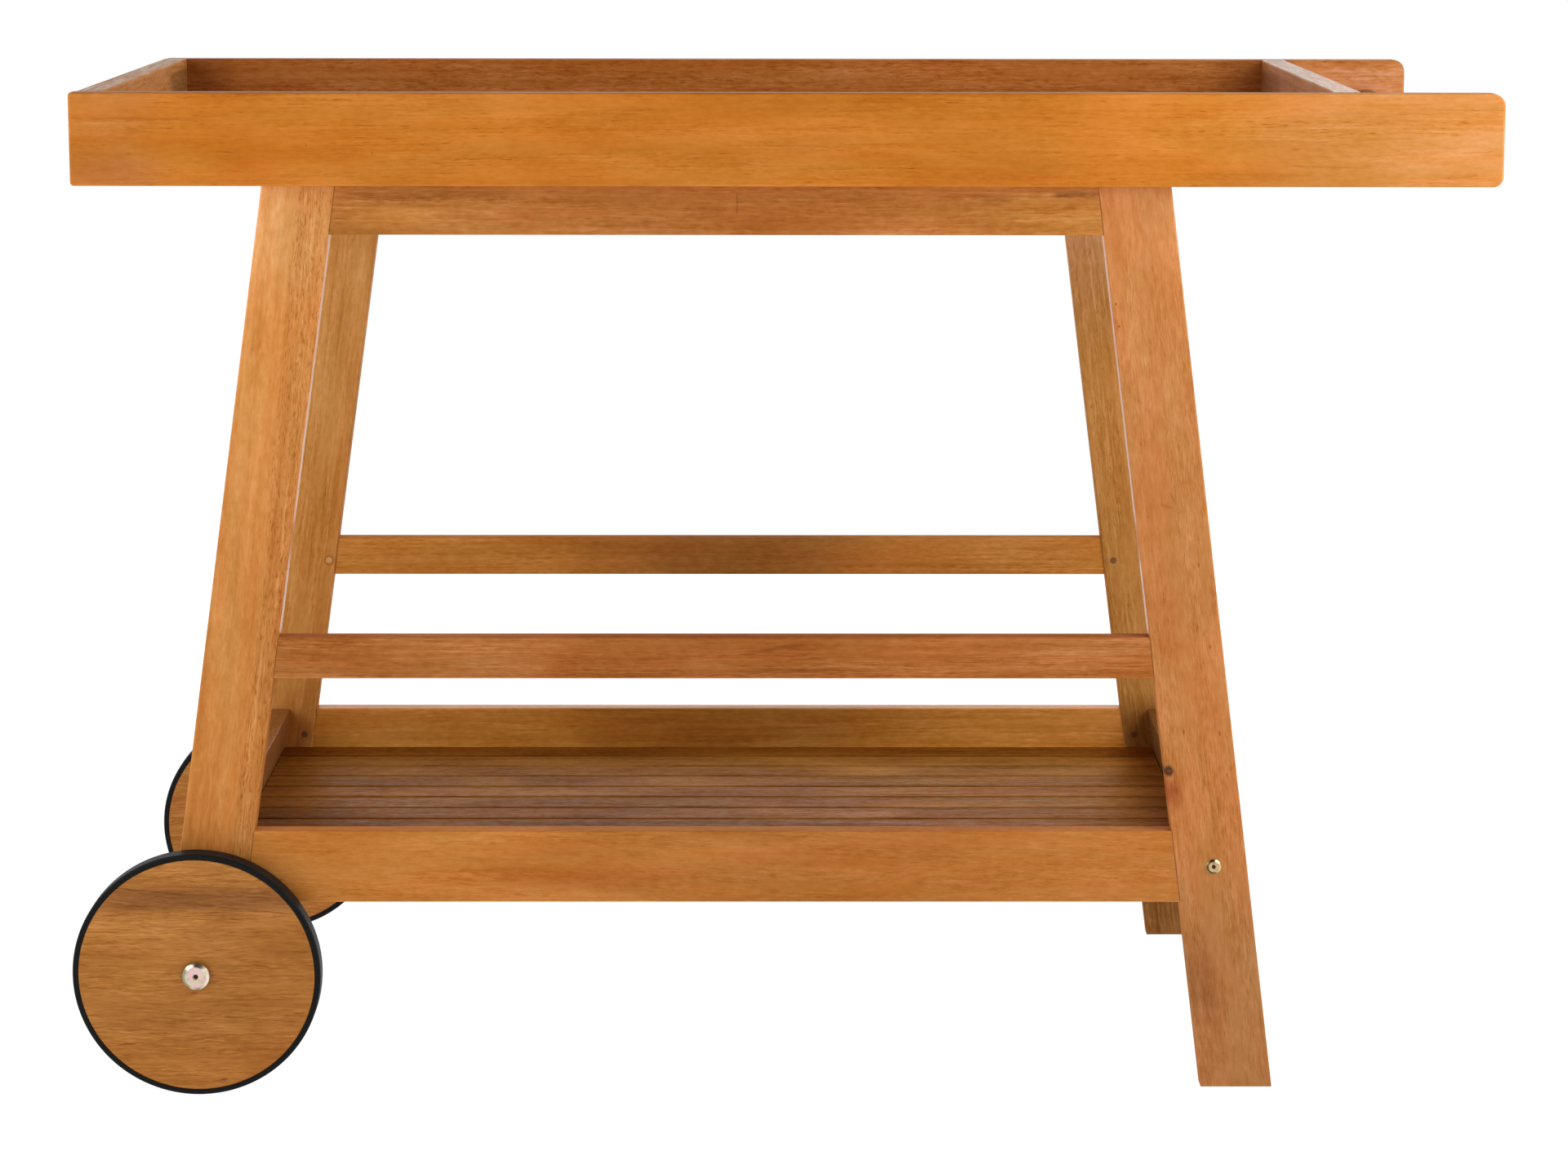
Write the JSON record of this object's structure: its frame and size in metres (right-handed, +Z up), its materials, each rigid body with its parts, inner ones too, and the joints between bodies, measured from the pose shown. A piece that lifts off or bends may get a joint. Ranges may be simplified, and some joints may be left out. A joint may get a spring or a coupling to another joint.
{
  "type": "bar cart",
  "caption": "Wooden bar cart: a long tray with a bar handle on splayed legs, with large disc wheels at one end and a slatted shelf with guard rails below.",
  "frame": {"origin": "on the floor, under the middle of the whole cart's length and width", "axes": "+X along the tray towards the handle bar, +Y from the front long side to the back one, +Z up"},
  "size_m": [1.2161, 0.596, 0.865],
  "materials": {
    "tray_wood": "oiled hardwood, yellow-orange, satin",
    "leg_wood": "oiled hardwood, orange-tan, satin",
    "frame_wood": "oiled hardwood, reddish brown, satin",
    "slat_wood": "oiled hardwood, mid brown, semi-gloss",
    "disc_wood": "oiled hardwood board, satin",
    "peg_wood": "hardwood end grain",
    "tyre_rubber": "black rubber, satin",
    "bush_plastic": "natural nylon",
    "zinc_steel": "yellow zinc plated steel",
    "screw_steel": "zinc plated steel"
  },
  "bodies": {
    "root": {"apron_back": "frame_wood", "apron_front": "frame_wood", "axle_bolt_back": "zinc_steel", "axle_bolt_front": "zinc_steel", "axle_nuts": "zinc_steel", "axle_washers": "zinc_steel", "barrel_nuts": "zinc_steel", "frame_screws": "screw_steel", "guard_rail_back": "frame_wood", "guard_rail_front": "frame_wood", "handle_bar": "tray_wood", "joint_pegs": "peg_wood", "leg_back_left": "leg_wood", "leg_back_right": "leg_wood", "leg_front_left": "leg_wood", "leg_front_right": "leg_wood", "shelf_batten_middle": "frame_wood", "shelf_bolts": "zinc_steel", "shelf_end_left": "frame_wood", "shelf_end_right": "frame_wood", "shelf_ledger_left": "frame_wood", "shelf_ledger_right": "frame_wood", "shelf_rail_back": "frame_wood", "shelf_rail_front": "frame_wood", "shelf_slat_01": "slat_wood", "shelf_slat_02": "slat_wood", "shelf_slat_03": "slat_wood", "shelf_slat_04": "slat_wood", "shelf_slat_05": "slat_wood", "shelf_slat_06": "slat_wood", "shelf_slat_07": "slat_wood", "shelf_slat_08": "slat_wood", "shelf_slat_09": "slat_wood", "shelf_slat_10": "slat_wood", "shelf_slat_11": "slat_wood", "slat_screws": "screw_steel", "tray_batten_left": "frame_wood", "tray_batten_middle": "frame_wood", "tray_batten_right": "frame_wood", "tray_end_left": "tray_wood", "tray_end_right": "tray_wood", "tray_rail_back": "tray_wood", "tray_rail_front": "tray_wood", "tray_slat_1": "slat_wood", "tray_slat_2": "slat_wood", "tray_slat_3": "slat_wood", "tray_slat_4": "slat_wood", "tray_slat_5": "slat_wood", "tray_slat_6": "slat_wood", "tray_slat_7": "slat_wood", "tray_slat_8": "slat_wood"},
    "wheel_front": {"wheel_disc_front": "disc_wood", "tyre_front": "tyre_rubber", "wheel_bush_front": "bush_plastic"},
    "wheel_back": {"wheel_disc_back": "disc_wood", "tyre_back": "tyre_rubber", "wheel_bush_back": "bush_plastic"}
  },
  "joints": [
    {"name": "wheel_front_spin", "type": "hinge", "parent": "root", "child": "wheel_front", "pos_m": [-0.501, -0.281, 0.1071], "axis": [0, 1, 0], "continuous": true},
    {"name": "wheel_back_spin", "type": "hinge", "parent": "root", "child": "wheel_back", "pos_m": [-0.501, 0.281, 0.1071], "axis": [0, 1, 0], "continuous": true}
  ]
}
